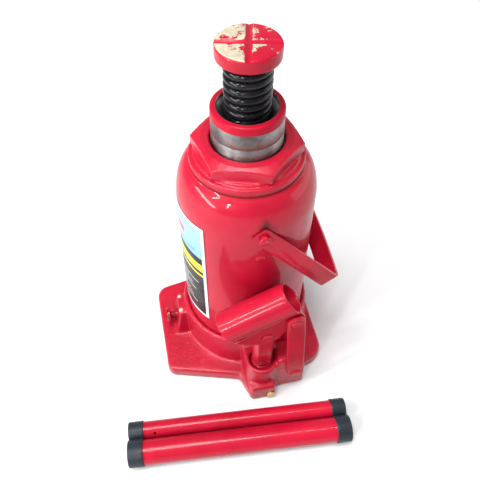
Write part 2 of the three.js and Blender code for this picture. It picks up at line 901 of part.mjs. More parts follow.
// An open coil spring with a small round wire, along Y.
function checkSpring() {
  const start = pumpY - noseReach + checkPlugLength + 0.3;
  const end = pumpY - noseReach + checkDepth - 2 * ballRadius - 1.2;
  const radius = checkBore - springWire - ballGap;
  const points = [];
  const steps = springTurns * 8;
  for (let step = 0; step <= steps; step += 1) {
    const turn = (2 * Math.PI * springTurns * step) / steps;
    const y = start + springWire + ((end - start - 2 * springWire) * step) / steps;
    points.push(new THREE.Vector3(radius * Math.cos(turn), y, radius * Math.sin(turn)));
  }
  const path = new THREE.CatmullRomCurve3(points);
  const wire = new THREE.Shape().absarc(0, 0, springWire, 0, 2 * Math.PI);
  return new THREE.ExtrudeGeometry(wire, { steps, curveSegments: 3, extrudePath: path })
    .translate(checkAxis.x, 0, checkAxis.z);
}

// ---- carrying handle ----

// The angle below horizontal at which the cross bar hangs just clear of the tank.
function bailRestAngle() {
  const inner = bailReach - bailStrip + bailBow;
  const diagonal = Math.hypot(inner, bailWidth / 2);
  const away = tankRadius + bailRestGap - bailPivot.x;
  return Math.acos(away / diagonal) - Math.atan2(bailWidth / 2, inner);
}

function bailHalfSpan() {
  return tankRadius + 1;
}

function carryHandle() {
  const inside = bailHalfSpan();
  const outside = inside + bailStrip;
  const bend = bailBend;
  const bowRadius = (bailBowShare * outside * outside) / (2 * bailBow);
  const strip = roundedShape([
    [-bailEnd, -outside, 0],
    [bailReach, -outside, bend],
    [bailReach + 2 * bailBow, 0, bowRadius],
    [bailReach, outside, bend],
    [-bailEnd, outside, 0],
    [-bailEnd, inside, 0],
    [bailReach - bailStrip, inside, bend - bailStrip],
    [bailReach - bailStrip + 2 * bailBow, 0, bowRadius - bailStrip],
    [bailReach - bailStrip, -inside, bend - bailStrip],
    [-bailEnd, -inside, 0],
  ]);
  const band = prism(strip, bailWidth).translate(0, 0, -bailWidth / 2);
  const half = bailWidth / 2;
  const side = roundedShape([
    [-bailEnd, -half, bailEndFillet],
    [bailReach + 3 * bailBow, -half, 0],
    [bailReach + 3 * bailBow, half, 0],
    [-bailEnd, half, bailEndFillet],
  ]);
  const trimmed = solid(band).intersect(solid(wallAlongY(side, -outside - 1, outside + 1, 4)));
  const hole = rodAlongY(rivetRadius + gap, -outside - 1, outside + 1, 0, 0, coarse);
  return surface(carve(trimmed, [hole])).rotateY(bailRestAngle()).translate(bailPivot.x, 0, bailPivot.z);
}

// A rivet through the tank wall, with one head inside the tank and one outside the strip.
function bailRivet(side) {
  const outer = bailHalfSpan() + bailStrip + gap;
  const inner = Math.sqrt((tankRadius - tankWall) ** 2 - rivetHead ** 2) - 4 * gap;
  return turned([
    [0, inner - rivetTail],
    [rivetHead, inner - rivetTail],
    [rivetHead, inner],
    [rivetRadius, inner],
    [rivetRadius, outer],
    [rivetHead, outer],
    [rivetHead - 0.4, outer + 0.9],
    [rivetHead - 1.8, outer + 1.7],
    [0, outer + rivetHeight],
  ], screwFacets).rotateX(-side * Math.PI / 2).translate(bailPivot.x, 0, bailPivot.z);
}

// ---- filler plug and label ----

function fillerPlug() {
  const plug = turned([
    [0, tankRadius - tankWall - fillerTail],
    [fillerRadius, tankRadius - tankWall - fillerTail],
    [fillerRadius, tankRadius + gap],
    [fillerHead, tankRadius + gap],
    [fillerHead - 0.3, tankRadius + gap + 0.9],
    [fillerHead - 1.6, tankRadius + gap + 1.5],
    [0, tankRadius + gap + fillerHeadHeight],
  ], medium);
  return plug.rotateY(Math.PI / 2).rotateZ(degrees(fillerAngle)).translate(0, 0, fillerHeight);
}

function ratingLabel() {
  const inner = tankRadius + gap;
  const from = degrees(180 - labelWrap / 2);
  const to = degrees(180 + labelWrap / 2);
  const sheet = new THREE.Shape();
  sheet.absarc(0, 0, inner + labelThickness, from, to, false);
  sheet.absarc(0, 0, inner, to, from, true);
  return prism(sheet, labelHeight, 20).translate(0, 0, labelFoot);
}

// ---- handle tubes ----

function handleTube(radius) {
  const half = handleLength / 2 - capFloor - gap;
  return sleeve(radius - handleWall, radius, -half, half);
}

function smallHandleTube() {
  const holeFromEnd = handleLength / 2 - capLength - lockHoleFromCap;
  const hole = rodAlongX(lockHoleRadius, -2 * smallTubeRadius, 0, 0, -holeFromEnd, coarse);
  hole.rotateZ(Math.PI / 4);
  return surface(carve(solid(handleTube(smallTubeRadius)), [hole]));
}

function endCap(radius, end) {
  const inner = radius + gap;
  const outer = inner + capWall;
  const tip = handleLength / 2;
  const cap = turned([
    [0, tip - capFloor],
    [inner, tip - capFloor],
    [inner, tip - capLength],
    [outer, tip - capLength],
    [outer, tip - 1],
    [outer - 1, tip],
    [0, tip],
  ]);
  return end < 0 ? cap.rotateX(Math.PI) : cap;
}

// A group that lays a handle tube on the floor, with its own +Z along the tube.
function handleCradle(radius, sideways) {
  const rest = radius + gap + capWall;
  const turn = degrees(handleTurn);
  const cradle = new THREE.Group();
  const x = handleReach.x - sideways * Math.sin(turn);
  const y = -tankRadius + handleReach.y + sideways * Math.cos(turn);
  cradle.position.set(x, y, rest);
  cradle.rotation.set(0, Math.PI / 2, turn, 'ZYX');
  return cradle;
}

// ---- finishes ----

function finish(color, roughness, metalness) {
  return () => new THREE.MeshStandardMaterial({ color, roughness, metalness });
}

const redPaint = finish(0xcf1f3a, 0.28, 0.0);
const groundSteel = finish(0x9a9a98, 0.3, 1.0);
const dullSteel = finish(0x77777a, 0.45, 1.0);
const blackOxide = finish(0x17181a, 0.3, 0.6);
const blackPlastic = finish(0x232a32, 0.5, 0.0);
const rubber = finish(0x1a1a1a, 0.7, 0.0);
const bronze = finish(0x9c7440, 0.4, 1.0);
const brass = finish(0xb99a55, 0.35, 1.0);
const fibre = finish(0x6b4a33, 0.8, 0.0);
const labelBlue = finish(0xa9d3e6, 0.45, 0.0);

// ---- assembly ----

const jack = new THREE.Group();

function add(name, geometry, makeFinish, parent = jack) {
  const mesh = new THREE.Mesh(geometry, makeFinish());
  mesh.name = name;
  parent.add(mesh);
}

add('base_casting', baseCasting(), redPaint);
add('pressure_cylinder', pressureCylinder(), dullSteel);
add('reservoir_tank', reservoirTank(), redPaint);
add('tank_base_gasket', tankBaseGasket(), fibre);
add('tank_top_gasket', tankTopGasket(), fibre);
add('top_nut', topNut(), redPaint);
add('ram_wiper_seal', wiperSeal(), rubber);
add('filler_plug', fillerPlug(), redPaint);
add('rating_label', ratingLabel(), labelBlue);

add('ram', ram(), groundSteel);
add('ram_piston', ramPiston(), dullSteel);
add('ram_piston_seal', pistonRing(sealLow), rubber);
add('ram_guide_ring', pistonRing(guideLow), bronze);
add('extension_screw', extensionScrew(), blackOxide);
add('screw_stop_ring', screwStopRing(), dullSteel);
add('saddle', saddle(), redPaint);

add('pump_cylinder', pumpCylinder(), dullSteel);
add('pump_plunger', pumpPlunger(), redPaint);
add('plunger_seal', plungerSeal(), rubber);
add('plunger_pin', crossPin(lugHalf + pinProud, plungerPinX, plungerPinHeight), redPaint);
add('link_front', linkPlate(-1), redPaint);
add('link_rear', linkPlate(1), redPaint);
add('link_lower_pin', crossPin(linkOuter + pinProud, lowerPin.x, lowerPin.z), redPaint);
add('link_upper_pin', crossPin(linkOuter + pinProud, upperPin.x, upperPin.z), redPaint);
add('handle_socket', handleSocket(), redPaint);

const valveSeat = -valveFace() + valveSeatDepth;
const checkBallY = pumpY - noseReach + checkDepth - ballRadius - ballGap;
add('release_valve', releaseValve(), redPaint);
add('release_valve_ball', ball(valveSeat - ballRadius - ballGap, 0, valveHeight), dullSteel);
add('check_valve_ball', ball(checkAxis.x, checkBallY, checkAxis.z), dullSteel);
add('check_valve_spring', checkSpring(), dullSteel);
add('check_valve_plug', checkPlug(), brass);

add('carry_handle', carryHandle(), redPaint);
add('bail_rivet_near', bailRivet(1), redPaint);
add('bail_rivet_far', bailRivet(-1), redPaint);

const tubeSpacing = 2 * Math.sqrt(largeTubeRadius * smallTubeRadius) + 2 * (capWall + gap);
const largeCradle = handleCradle(largeTubeRadius, 0);
const smallCradle = handleCradle(smallTubeRadius, tubeSpacing);
jack.add(largeCradle, smallCradle);
add('handle_tube_large', handleTube(largeTubeRadius), redPaint, largeCradle);
add('large_cap_left', endCap(largeTubeRadius, -1), blackPlastic, largeCradle);
add('large_cap_right', endCap(largeTubeRadius, 1), blackPlastic, largeCradle);
add('handle_tube_small', smallHandleTube(), redPaint, smallCradle);
add('small_cap_left', endCap(smallTubeRadius, -1), blackPlastic, smallCradle);
add('small_cap_right', endCap(smallTubeRadius, 1), blackPlastic, smallCradle);

export default jack;
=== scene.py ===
import math

import bmesh
import bpy
from mathutils import Matrix, Vector


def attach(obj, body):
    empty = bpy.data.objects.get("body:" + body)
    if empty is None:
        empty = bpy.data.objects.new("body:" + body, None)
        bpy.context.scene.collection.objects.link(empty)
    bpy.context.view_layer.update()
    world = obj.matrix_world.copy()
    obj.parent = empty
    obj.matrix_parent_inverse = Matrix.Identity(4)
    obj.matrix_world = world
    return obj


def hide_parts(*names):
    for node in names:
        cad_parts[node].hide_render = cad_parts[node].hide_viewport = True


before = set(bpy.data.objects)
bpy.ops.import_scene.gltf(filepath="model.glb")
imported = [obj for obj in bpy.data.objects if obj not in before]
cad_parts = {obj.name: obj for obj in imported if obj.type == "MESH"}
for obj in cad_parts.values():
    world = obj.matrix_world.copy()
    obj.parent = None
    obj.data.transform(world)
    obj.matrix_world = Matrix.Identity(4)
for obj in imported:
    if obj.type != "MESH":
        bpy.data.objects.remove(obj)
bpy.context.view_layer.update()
print("frame loaded:", len(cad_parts), "nodes")

mm = 0.001
fullTurn = 2 * math.pi
pump = {"x": 0.0, "y": -81.6}  # the pump's axis, in millimetres like every size below


# Making, cutting and finishing pieces

def spun(points, steps=96, closed=False):  # (radius, height) points turned once round the upright axis
    bm = bmesh.new()
    verts = [bm.verts.new((radius * mm, 0, height * mm)) for radius, height in points]
    edges = [bm.edges.new(pair) for pair in zip(verts, verts[1:])]
    if closed:
        edges.append(bm.edges.new((verts[-1], verts[0])))
    bmesh.ops.spin(bm, geom=verts + edges, cent=(0, 0, 0), axis=(0, 0, 1), angle=fullTurn,
                   steps=steps, use_merge=True)
    bmesh.ops.remove_doubles(bm, verts=bm.verts, dist=1e-6)
    bmesh.ops.recalc_face_normals(bm, faces=bm.faces)
    return bm


def rod(radius, length, segments):
    bm = bmesh.new()
    bmesh.ops.create_cone(bm, cap_ends=True, segments=segments, radius1=radius * mm,
                          radius2=radius * mm, depth=length * mm)
    return bm


def rounded(bm, width, segments, limit):
    sharp = [edge for edge in bm.edges if edge.calc_face_angle(0) > math.radians(limit)]
    bmesh.ops.bevel(bm, geom=sharp, offset=width * mm, offset_type="OFFSET", segments=segments,
                    profile=0.5, affect="EDGES", material=-1, clamp_overlap=True)
    return bm


def placed(bm, turn=None, move=(0, 0, 0)):
    matrix = Matrix.Translation(Vector(move) * mm) @ (turn or Matrix.Identity(4))
    bmesh.ops.transform(bm, matrix=matrix, verts=bm.verts)
    return bm


def trimmed(bm, point, normal):  # everything beyond the plane goes; the new rim comes back
    trim = bmesh.ops.bisect_plane(bm, geom=bm.verts[:] + bm.edges[:] + bm.faces[:], dist=1e-7,
                                  plane_co=point, plane_no=normal, clear_outer=True)
    return [item for item in trim["geom_cut"] if isinstance(item, bmesh.types.BMEdge)]


def joined(bm, other):
    part = bpy.data.meshes.new("part")
    other.to_mesh(part)
    other.free()
    bm.from_mesh(part)
    bpy.data.meshes.remove(part)
    return bm


def turned(axis, degrees):
    return Matrix.Rotation(math.radians(degrees), 4, axis)


def nodeCopy(node):
    bm = bmesh.new()
    bm.from_mesh(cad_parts[node].data)
    bmesh.ops.remove_doubles(bm, verts=bm.verts, dist=2e-6)
    return bm


def rawPiece(name, bm):
    mesh = bpy.data.meshes.new(name)
    bm.to_mesh(mesh)
    bm.free()
    piece = bpy.data.objects.new(name, mesh)
    bpy.context.scene.collection.objects.link(piece)
    return piece


def settled(piece):
    bpy.context.view_layer.update()
    graph = bpy.context.evaluated_depsgraph_get()
    shape = bpy.data.meshes.new_from_object(piece.evaluated_get(graph))
    piece.modifiers.clear()
    piece.data = shape
    return piece


def cut(piece, cutterShape):
    cutter = rawPiece("cutter", cutterShape)
    carve = piece.modifiers.new("carve", "BOOLEAN")
    carve.operation = "DIFFERENCE"
    carve.solver = "EXACT"
    carve.object = cutter
    settled(piece)
    bpy.data.objects.remove(cutter)
    return piece


def softened(piece, rounds):
    bm = bmesh.new()
    bm.from_mesh(piece.data)
    for _ in range(rounds):
        bmesh.ops.smooth_vert(bm, verts=bm.verts, factor=0.5,
                              use_axis_x=True, use_axis_y=True, use_axis_z=True)
    bm.to_mesh(piece.data)
    bm.free()
    return piece


# Overlapping shapes become one skin with soft, cast-looking corners
def fused(name, shapes, voxel, rounds):
    whole = bmesh.new()
    for shape in shapes:
        joined(whole, shape)
    piece = rawPiece(name, whole)
    remesh = piece.modifiers.new("remesh", "REMESH")
    remesh.mode = "VOXEL"
    remesh.voxel_size = voxel * mm
    return softened(settled(piece), rounds)


def dressed(piece, material, body, stands=(), sharp=40):
    mesh = piece.data
    mesh.materials.clear()
    mesh.materials.append(material)
    mesh.polygons.foreach_set("use_smooth", [True] * len(mesh.polygons))
    mesh.set_sharp_from_angle(angle=math.radians(sharp))
    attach(piece, body)
    if stands:
        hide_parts(*stands)
    return piece


# Material building blocks

class Look:
    def __init__(self, name, color=None, roughness=0.4, metallic=0.0, coat=0.0, coatRoughness=0.05):
        self.material = bpy.data.materials.new(name)
        self.material.use_nodes = True
        self.tree = self.material.node_tree
        self.shader = self.tree.nodes["Principled BSDF"]
        self.shader.inputs["Roughness"].default_value = roughness
        self.shader.inputs["Metallic"].default_value = metallic
        self.shader.inputs["Coat Weight"].default_value = coat
        self.shader.inputs["Coat Roughness"].default_value = coatRoughness
        if color:
            self.shader.inputs["Base Color"].default_value = (*color, 1)
        self.place = self.tree.nodes.new("ShaderNodeTexCoord").outputs["Object"]

    def link(self, source, target):
        if hasattr(source, "links"):
            self.tree.links.new(source, target)
        else:
            target.default_value = source

    def mapped(self, scale=(1, 1, 1), move=(0, 0, 0), turn=(0, 0, 0)):
        node = self.tree.nodes.new("ShaderNodeMapping")
        node.inputs["Scale"].default_value = scale
        node.inputs["Location"].default_value = move
        node.inputs["Rotation"].default_value = turn
        self.tree.links.new(self.place, node.inputs["Vector"])
        return node.outputs["Vector"]

    def noise(self, size, detail=3.0, rough=0.55, vector=None):  # size is a blotch's, in millimetres
        node = self.tree.nodes.new("ShaderNodeTexNoise")
        node.inputs["Scale"].default_value = 1000.0 / size
        node.inputs["Detail"].default_value = detail
        node.inputs["Roughness"].default_value = rough
        self.tree.links.new(vector or self.place, node.inputs["Vector"])
        return node.outputs["Fac"]

    def step(self, value, low, high, outLow=0.0, outHigh=1.0):
        node = self.tree.nodes.new("ShaderNodeMapRange")
        node.interpolation_type = "SMOOTHSTEP"
        node.inputs["From Min"].default_value = low
        node.inputs["From Max"].default_value = high
        node.inputs["To Min"].default_value = outLow
        node.inputs["To Max"].default_value = outHigh
        self.link(value, node.inputs["Value"])
        return node.outputs["Result"]

    def math(self, operation, first, second=0.0):
        node = self.tree.nodes.new("ShaderNodeMath")
        node.operation = operation
        self.link(first, node.inputs[0])
        self.link(second, node.inputs[1])
        return node.outputs[0]

    def axis(self, name):
        node = self.tree.nodes.new("ShaderNodeSeparateXYZ")
        self.tree.links.new(self.place, node.inputs[0])
        return node.outputs[name]

    def near(self, point, reach, rough=0.0, grain=4.0):  # 1 at the point, 0 beyond its ragged reach
        node = self.tree.nodes.new("ShaderNodeVectorMath")
        node.operation = "DISTANCE"
        self.tree.links.new(self.place, node.inputs[0])
        node.inputs[1].default_value = Vector(point) * mm
        distance = node.outputs["Value"]
        if rough:
            wander = self.math("SUBTRACT", self.noise(grain, 4.0), 0.5)
            distance = self.math("ADD", distance, self.math("MULTIPLY", wander, rough * mm))
        return self.step(distance, reach[0] * mm, reach[1] * mm, 1.0, 0.0)

    def mix(self, amount, first, second):
        node = self.tree.nodes.new("ShaderNodeMix")
        node.data_type = "RGBA"
        self.link(amount, node.inputs[0])
        for value, socket in ((first, node.inputs[6]), (second, node.inputs[7])):
            if hasattr(value, "links"):
                self.tree.links.new(value, socket)
            else:
                socket.default_value = (*value, 1)
        return node.outputs[2]

    def color(self, source):
        self.tree.links.new(source, self.shader.inputs["Base Color"])

    def drive(self, socket, source):
        self.tree.links.new(source, self.shader.inputs[socket])

    def bump(self, layers):  # (height, depth in millimetres) pairs, one over the other
        normal = None
        for height, depth in layers:
            node = self.tree.nodes.new("ShaderNodeBump")
            node.inputs["Strength"].default_value = 1.0
            node.inputs["Distance"].default_value = depth * mm
            self.tree.links.new(height, node.inputs["Height"])
            if normal:
                self.tree.links.new(normal, node.inputs["Normal"])
            normal = node.outputs["Normal"]
        self.tree.links.new(normal, self.shader.inputs["Normal"])
        self.tree.links.new(normal, self.shader.inputs["Coat Normal"])


# Finishes

enamel = {"bright": (0.40, 0.005, 0.024), "deep": (0.31, 0.0035, 0.017), "pale": (0.62, 0.045, 0.08),
          "roughness": (0.3, 0.42), "coat": 0.26, "specular": 0.12, "stainAndShadeRough": 0.25, "worn": 0.35}
stained = 0.75  # how much of its colour a plain finish keeps in its darker blotches


def redPaint(name, cast=0.0, peel=0.03, chips=(), stainsAndShade=(), chipColor=(0.16, 0.14, 0.11),
             dusty=0.08, gloss=1.0):
    look = Look(name, roughness=0.3, coat=enamel["coat"] * gloss, coatRoughness=0.05)
    look.shader.inputs["Specular IOR Level"].default_value = enamel["specular"]
    body = look.mix(look.step(look.noise(55, 4.0), 0.3, 0.7), enamel["deep"], enamel["bright"])
    dust = look.math("MULTIPLY", look.step(look.noise(9, 5.0, 0.65), 0.56, 0.78), dusty)
    body = look.mix(dust, body, enamel["pale"])
    roughness = look.step(look.noise(14, 4.0), 0.3, 0.7, *enamel["roughness"])
    wear = None
    for point, reach, ragged in chips:
        spot = look.near(point, reach, ragged)
        body = look.mix(spot, body, chipColor)
        wear = spot if wear is None else look.math("MAXIMUM", wear, spot)
    # darker spots of paint: some are real stains such as the tank's weld burn, the rest are painted shade
    for point, reach, ragged, shade, amount in stainsAndShade:
        spot = look.math("MULTIPLY", look.near(point, reach, ragged, 9.0), amount)
        body = look.mix(spot, body, shade)
        roughness = look.math("ADD", roughness, look.math("MULTIPLY", spot, enamel["stainAndShadeRough"]))
    if wear is not None:
        roughness = look.math("ADD", roughness, look.math("MULTIPLY", wear, enamel["worn"]))
    look.color(body)
    look.drive("Roughness", roughness)
    layers = [(look.noise(1.6, 2.0), peel)]
    if cast:
        layers.append((look.noise(2.2, 6.0, 0.75), cast))
        layers.append((look.noise(11, 3.0), cast * 1.6))
    look.bump(layers)
    return look.material


def steel(name, color, roughness):  # fine grinding marks run round the upright axis
    look = Look(name, roughness=roughness, metallic=1.0)
    lines = look.noise(60, 5.0, 0.7, look.mapped(scale=(1, 1, 40)))
    blotch = look.noise(13, 5.0, 0.6)
    dark = tuple(part * stained for part in color)
    look.color(look.mix(look.step(blotch, 0.35, 0.7), color, dark))
    marks = look.math("MULTIPLY", lines, blotch)
    look.drive("Roughness", look.step(marks, 0.1, 0.42, roughness - 0.08, roughness + 0.12))
    look.bump([(lines, 0.01)])
    return look.material


def plain(name, color, roughness, size, depth, metallic=0.0, shine=0.5):
    look = Look(name, roughness=roughness, metallic=metallic)
    look.shader.inputs["Specular IOR Level"].default_value = shine
    grain = look.noise(size, 4.0, 0.6)
    shade = tuple(part * stained for part in color)
    look.color(look.mix(look.step(grain, 0.35, 0.68), shade, color))
    broad = look.noise(size * 4, 3.0)
    look.drive("Roughness", look.step(broad, 0.3, 0.7, roughness - 0.06, roughness + 0.08))
    look.bump([(grain, depth)])
    return look.material


# Oil tank: one drawn shell whose shoulder runs up to the nut's flange

tankSizes = {"radius": 60.0, "wall": 3.0, "foot": 40.3, "shoulderFoot": 206.7, "top": 240.7,
             "neck": 48.3, "sweep": 78.0, "rings": 18, "mouth": 39.0, "edge": 0.4, "inset": 8.0,
             "drop": 9.0, "steps": 128}


def shoulderPoints(size):
    sweep = math.radians(size["sweep"])
    points = []
    for step in range(size["rings"] + 1):
        turn = sweep * step / size["rings"]
        across = (1 - math.cos(turn)) / (1 - math.cos(sweep))
        up = math.sin(turn) / math.sin(sweep)
        points.append((size["radius"] + (size["neck"] - size["radius"]) * across,
                       size["shoulderFoot"] + (size["top"] - 1 - size["shoulderFoot"]) * up))
    return points


def makeTank(size):
    inner = size["radius"] - size["wall"]
    profile = [(inner, size["foot"]), (size["radius"] - size["edge"], size["foot"]),
               (size["radius"], size["foot"] + size["edge"])]
    profile += shoulderPoints(size)
    profile += [(size["neck"] - 1, size["top"]), (size["mouth"], size["top"]),
                (size["mouth"], size["top"] - size["wall"]),
                (inner - size["inset"], size["top"] - size["drop"]), (inner, size["shoulderFoot"])]
    return rawPiece("tankShell", spun(profile, size["steps"], closed=True))


tankPaint = redPaint("tankPaint", peel=0.012, gloss=1.3,
                     stainsAndShade=[((3, -60, 220), (0.5, 7.5), 8.0, (0.02, 0.006, 0.006), 0.85),
                              ((5, -60, 214), (2.0, 11.0), 8.0, (0.12, 0.003, 0.008), 0.5)], dusty=0.03)
dressed(makeTank(tankSizes), tankPaint, "base", ["reservoir_tank"])
print("tank made")

# Foot casting: its own skin, softened at every corner as a sand casting is

castSizes = {"voxel": 1.15, "rounds": 5, "edge": 1.4, "overlap": 1.0, "bossOverlap": 0.2,
             "ring": {"bore": 60.4, "foot": 66.0, "crown": 65.0, "top": 49.8, "low": 12.0},
             "boss": {"bore": 12.2, "radius": 16.4, "top": 47.0, "low": 2.0}}


def makeCasting(size):
    ring = size["ring"]
    edge = size["edge"]
    bore = ring["bore"] + size["overlap"]
    collar = spun([(bore, ring["low"]), (ring["foot"], ring["low"]),
                   (ring["crown"], ring["top"] - edge), (ring["crown"] - edge, ring["top"]),
                   (bore, ring["top"])], 128, closed=True)
    boss = size["boss"]
    bore = boss["bore"] + size["bossOverlap"]
    post = spun([(bore, boss["low"]), (boss["radius"], boss["low"]),
                 (boss["radius"], boss["top"] - edge), (boss["radius"] - edge, boss["top"]),
                 (bore, boss["top"])], 96, closed=True)
    placed(post, move=(pump["x"], pump["y"], 0))
    return fused("footCasting", [nodeCopy("base_casting"), collar, post], size["voxel"], size["rounds"])


# the two darker red patches at the pump's nose and behind its lug are painted shade
castPaint = redPaint("castPaint", cast=0.4, peel=0.02, gloss=1.9,
                     chips=[((-71, -8, 44), (1.0, 3.2), 3.0), ((-70, 9, 44), (0.5, 2.6), 3.0)],
                     stainsAndShade=[((0, -100, 22), (3, 22), 14, (0.24, 0.003, 0.014), 0.4),
                              ((30, -70, 15), (4, 26), 16, (0.2, 0.003, 0.012), 0.4)], dusty=0.16,
                     chipColor=(0.62, 0.47, 0.33))
casting = dressed(makeCasting(castSizes), castPaint, "base", ["base_casting"], sharp=60)
print("foot casting made:", len(casting.data.polygons), "faces")

# Top nut: flange, rough cast collar and a hexagon turned down at its corners

nutSizes = {"voxel": 0.62, "rounds": 2, "flange": (44.0, 47.6, 242.5, 248.8), "edge": 1.0}


def makeNut(size):
    inner, outer, low, high = size["flange"]
    edge = size["edge"]
    flange = spun([(inner, low), (outer, low), (outer, high - edge), (outer - edge, high),
                   (inner, high)], 128, closed=True)
    return fused("topNut", [nodeCopy("top_nut"), flange], size["voxel"], size["rounds"])


# the darker red patch on the nut's top at the front of the ram is painted shade
nutPaint = redPaint("nutPaint", cast=0.2, peel=0.02, gloss=1.6,
                    stainsAndShade=[((0, -34, 263), (1, 9), 8, (0.3, 0.01, 0.02), 0.4)])
nut = dressed(makeNut(nutSizes), nutPaint, "base", ["top_nut"], sharp=60)
print("top nut made:", len(nut.data.polygons), "faces")

# Ram: ground steel with a painted band round its lip

ramSizes = {"radius": 28.7, "foot": 58.3, "top": 292.8, "edge": 1.8, "mouth": 23.7, "mouthDepth": 3.0,
            "cone": 4.0, "thread": 18.7, "neck": 35.0, "bore": 21.0, "paint": 7.0, "groove": 21.0,
            "grooveHalf": 0.3, "grooveDepth": 0.14}


def makeRam(size):
    radius, bore, mouth, top = size["radius"], size["bore"], size["mouth"], size["top"]
    groove = top - size["groove"]
    seat = top - size["mouthDepth"]
    neck = top - size["neck"]
    profile = [(bore, size["foot"]), (radius, size["foot"]), (radius, groove - size["grooveHalf"]),
               (radius - size["grooveDepth"], groove), (radius, groove + size["grooveHalf"]),
               (radius, top - size["edge"]), (radius - 0.35, top - 0.8), (radius - 1.0, top - 0.25),
               (radius - size["edge"], top), (mouth + 0.5, top), (mouth, top - 0.5), (mouth, seat),
               (size["thread"], seat - size["cone"]), (size["thread"], neck), (bore, neck)]
    return rawPiece("ramTube", spun(profile, 128, closed=True))


def ramFinish(size):
    look = Look("ramSteel", roughness=0.3, metallic=1.0)
    look.shader.inputs["Specular IOR Level"].default_value = enamel["specular"]
    lines = look.noise(60, 5.0, 0.7, look.mapped(scale=(1, 1, 45)))
    blotch = look.noise(16, 5.0, 0.62)
    bare = look.mix(look.step(blotch, 0.34, 0.7), (0.27, 0.265, 0.26), (0.12, 0.115, 0.115))
    rust = look.step(look.noise(5, 5.0, 0.7), 0.64, 0.76, 0.0, 0.5)
    bare = look.mix(rust, bare, (0.20, 0.12, 0.08))
    brushed = look.tree.nodes.new("ShaderNodeTangent")  # the grinding marks run round the ram
    brushed.direction_type = "RADIAL"
    brushed.axis = "Z"
    look.drive("Tangent", brushed.outputs[0])
    look.shader.inputs["Anisotropic"].default_value = 0.85
    look.shader.inputs["Anisotropic Rotation"].default_value = 0.25
    height = look.axis("Z")
    wander = look.math("MULTIPLY", look.math("SUBTRACT", look.noise(7, 3.0), 0.5), 1.6 * mm)
    line = look.math("ADD", height, wander)
    border = size["top"] - size["paint"]
    band = look.step(line, (border - 0.25) * mm, (border + 0.25) * mm)
    across = look.tree.nodes.new("ShaderNodeVectorMath")  # distance from the ram's axis
    across.operation = "LENGTH"
    look.tree.links.new(look.mapped(scale=(1, 1, 0)), across.inputs[0])
    mouth = size["mouth"]
    outside = look.step(across.outputs["Value"], (mouth + 0.1) * mm, (mouth + 0.9) * mm)
    painted = look.math("MULTIPLY", band, outside)
    red = look.mix(look.step(look.noise(30), 0.3, 0.7), enamel["deep"], enamel["bright"])
    look.color(look.mix(painted, bare, red))
    look.drive("Metallic", look.math("SUBTRACT", 1.0, painted))
    bareRoughness = look.step(look.math("MULTIPLY", lines, blotch), 0.1, 0.42, 0.26, 0.46)
    look.drive("Roughness", look.math("SUBTRACT", bareRoughness, look.math("MULTIPLY", painted, 0.06)))
    look.bump([(lines, 0.01), (look.noise(1.8, 3.0), 0.008), (painted, 0.15)])
    return look.material


dressed(makeRam(ramSizes), ramFinish(ramSizes), "ram", ["ram"], sharp=30)
print("ram made")

# Extension screw: a rounded black thread wound right-handed round its core

screwSizes = {"crest": 18.3, "depth": 2.8, "pitch": 6.5, "foot": 214.0, "top": 333.5, "steps": 48,
              "rows": 10, "fullness": 0.45, "spare": 2}


def makeScrew(size):
    bm = bmesh.new()
    root = size["crest"] - size["depth"]
    verts = []
    for step in range(size["rows"] + 1):
        part = step / size["rows"]
        swell = abs(math.sin(math.pi * part)) ** size["fullness"]
        height = size["foot"] - size["pitch"] + part * size["pitch"]
        verts.append(bm.verts.new(((root + size["depth"] * swell) * mm, 0, height * mm)))
    edges = [bm.edges.new(pair) for pair in zip(verts, verts[1:])]
    turns = math.ceil((size["top"] - size["foot"]) / size["pitch"]) + size["spare"]
    rise = size["pitch"] / size["steps"]
    bmesh.ops.spin(bm, geom=verts + edges, cent=(0, 0, 0), axis=(0, 0, 1), dvec=(0, 0, rise * mm),
                   angle=fullTurn * turns, steps=size["steps"] * turns)
    bmesh.ops.remove_doubles(bm, verts=bm.verts, dist=2e-5)
    for height, normal in ((size["foot"], (0, 0, -1)), (size["top"], (0, 0, 1))):
        bmesh.ops.contextual_create(bm, geom=trimmed(bm, (0, 0, height * mm), normal))
    bmesh.ops.recalc_face_normals(bm, faces=bm.faces)
    return rawPiece("threadedScrew", bm)


def threadFinish():
    look = Look("blackThread", roughness=0.22)
    look.shader.inputs["Specular IOR Level"].default_value = 0.22
    film = look.noise(7, 4.0)
    look.color(look.mix(look.step(film, 0.4, 0.75), (0.003, 0.003, 0.004), (0.011, 0.011, 0.013)))
    look.drive("Roughness", look.step(film, 0.3, 0.7, 0.12, 0.28))
    look.bump([(look.noise(1.2, 3.0), 0.006)])
    return look.material


dressed(makeScrew(screwSizes), threadFinish(), "screw", ["extension_screw"],
        sharp=70)
print("extension screw made")

# Saddle: a cap with two crossed grooves, its paint worn off where loads have sat

saddleSizes = {"radius": 23.9, "foot": 333.8, "height": 10.4, "edge": 1.6, "groove": 6.5, "depth": 1.8,
               "turn": -13.0}


